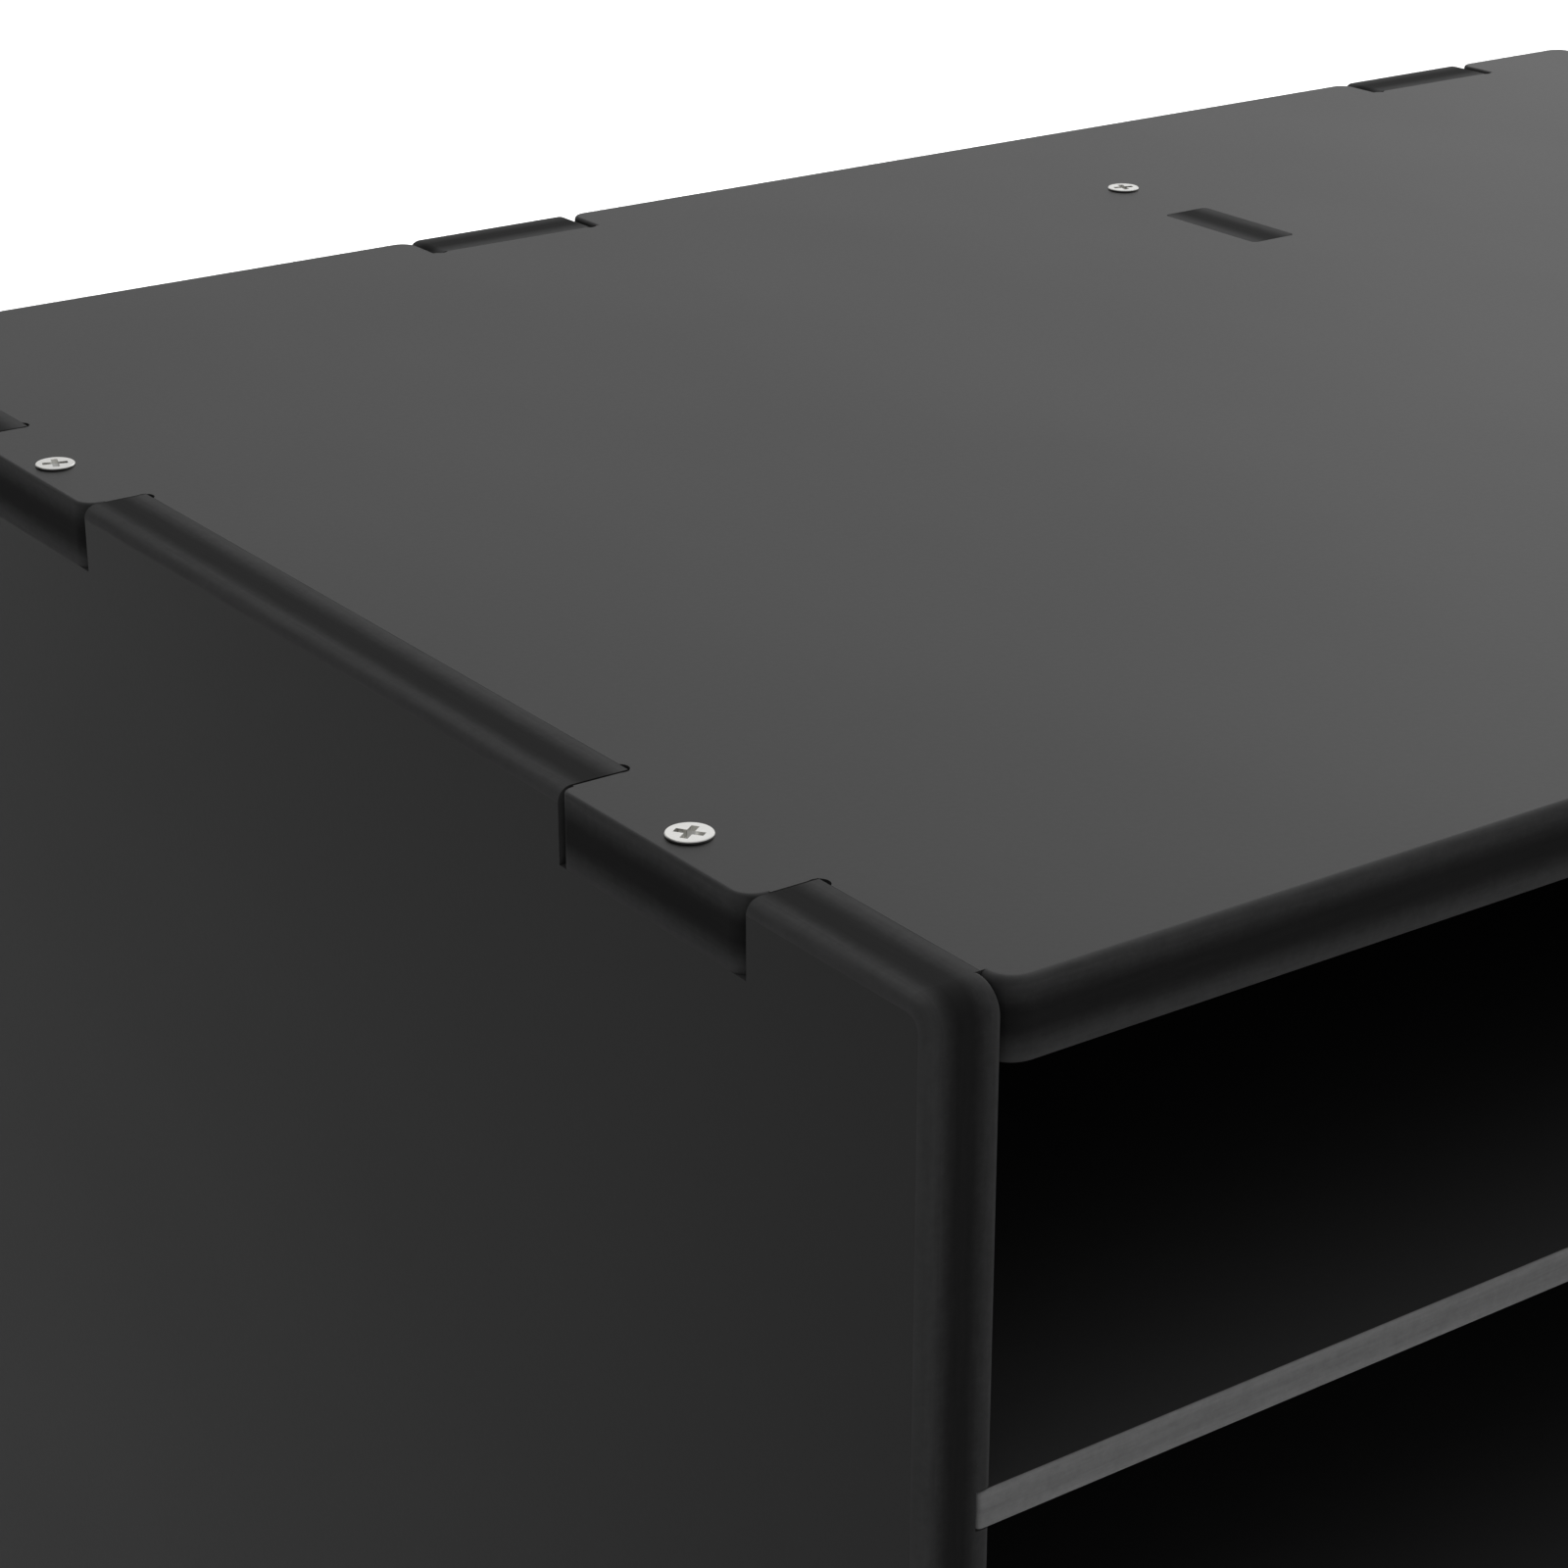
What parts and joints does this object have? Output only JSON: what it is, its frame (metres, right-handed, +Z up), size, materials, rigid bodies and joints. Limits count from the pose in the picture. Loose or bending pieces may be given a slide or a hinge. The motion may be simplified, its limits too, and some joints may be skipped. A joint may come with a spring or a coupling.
{
  "type": "mailroom sorter",
  "caption": "open-front mailroom sorter for letters and flat parcels: jointed black board carcass with an off-centre divider and thin shelves that slide into grooves from the front",
  "frame": {"origin": "middle of the footprint, on the underside of the bottom panel", "axes": "+Z up, +X to the right along the width, +Y to the back; the open front faces -Y"},
  "size_m": [0.5384, 0.389, 0.459],
  "materials": {
    "carcass_board": "black satin coated fibreboard, darker sealed edges",
    "shelf_board": "black satin coated thin fibreboard, greyer front edge",
    "screw_metal": "bright nickel-plated steel"
  },
  "bodies": {
    "carcass": {"top_panel": "carcass_board", "bottom_panel": "carcass_board", "left_side_panel": "carcass_board", "right_side_panel": "carcass_board", "back_panel": "carcass_board", "divider_panel": "carcass_board", "screws_top_left": "screw_metal", "screws_top_right": "screw_metal", "screws_top_divider": "screw_metal", "screws_bottom_left": "screw_metal", "screws_bottom_right": "screw_metal", "screws_bottom_divider": "screw_metal", "screws_left_back": "screw_metal", "screws_right_back": "screw_metal", "screws_back_divider": "screw_metal"},
    "left_shelf_1": {"shelf_left_1": "shelf_board"},
    "left_shelf_2": {"shelf_left_2": "shelf_board"},
    "left_shelf_3": {"shelf_left_3": "shelf_board"},
    "left_shelf_4": {"shelf_left_4": "shelf_board"},
    "left_shelf_5": {"shelf_left_5": "shelf_board"},
    "right_shelf_1": {"shelf_right_1": "shelf_board"},
    "right_shelf_2": {"shelf_right_2": "shelf_board"},
    "right_shelf_3": {"shelf_right_3": "shelf_board"},
    "right_shelf_4": {"shelf_right_4": "shelf_board"},
    "right_shelf_5": {"shelf_right_5": "shelf_board"}
  },
  "joints": [
    {"name": "left_shelf_1_slide", "type": "slide", "parent": "carcass", "child": "left_shelf_1", "axis": [0, -1, 0], "range_m": [0, 0.4]},
    {"name": "left_shelf_2_slide", "type": "slide", "parent": "carcass", "child": "left_shelf_2", "axis": [0, -1, 0], "range_m": [0, 0.4]},
    {"name": "left_shelf_3_slide", "type": "slide", "parent": "carcass", "child": "left_shelf_3", "axis": [0, -1, 0], "range_m": [0, 0.4]},
    {"name": "left_shelf_4_slide", "type": "slide", "parent": "carcass", "child": "left_shelf_4", "axis": [0, -1, 0], "range_m": [0, 0.4]},
    {"name": "left_shelf_5_slide", "type": "slide", "parent": "carcass", "child": "left_shelf_5", "axis": [0, -1, 0], "range_m": [0, 0.4]},
    {"name": "right_shelf_1_slide", "type": "slide", "parent": "carcass", "child": "right_shelf_1", "axis": [0, -1, 0], "range_m": [0, 0.4]},
    {"name": "right_shelf_2_slide", "type": "slide", "parent": "carcass", "child": "right_shelf_2", "axis": [0, -1, 0], "range_m": [0, 0.4]},
    {"name": "right_shelf_3_slide", "type": "slide", "parent": "carcass", "child": "right_shelf_3", "axis": [0, -1, 0], "range_m": [0, 0.4]},
    {"name": "right_shelf_4_slide", "type": "slide", "parent": "carcass", "child": "right_shelf_4", "axis": [0, -1, 0], "range_m": [0, 0.4]},
    {"name": "right_shelf_5_slide", "type": "slide", "parent": "carcass", "child": "right_shelf_5", "axis": [0, -1, 0], "range_m": [0, 0.4]}
  ]
}
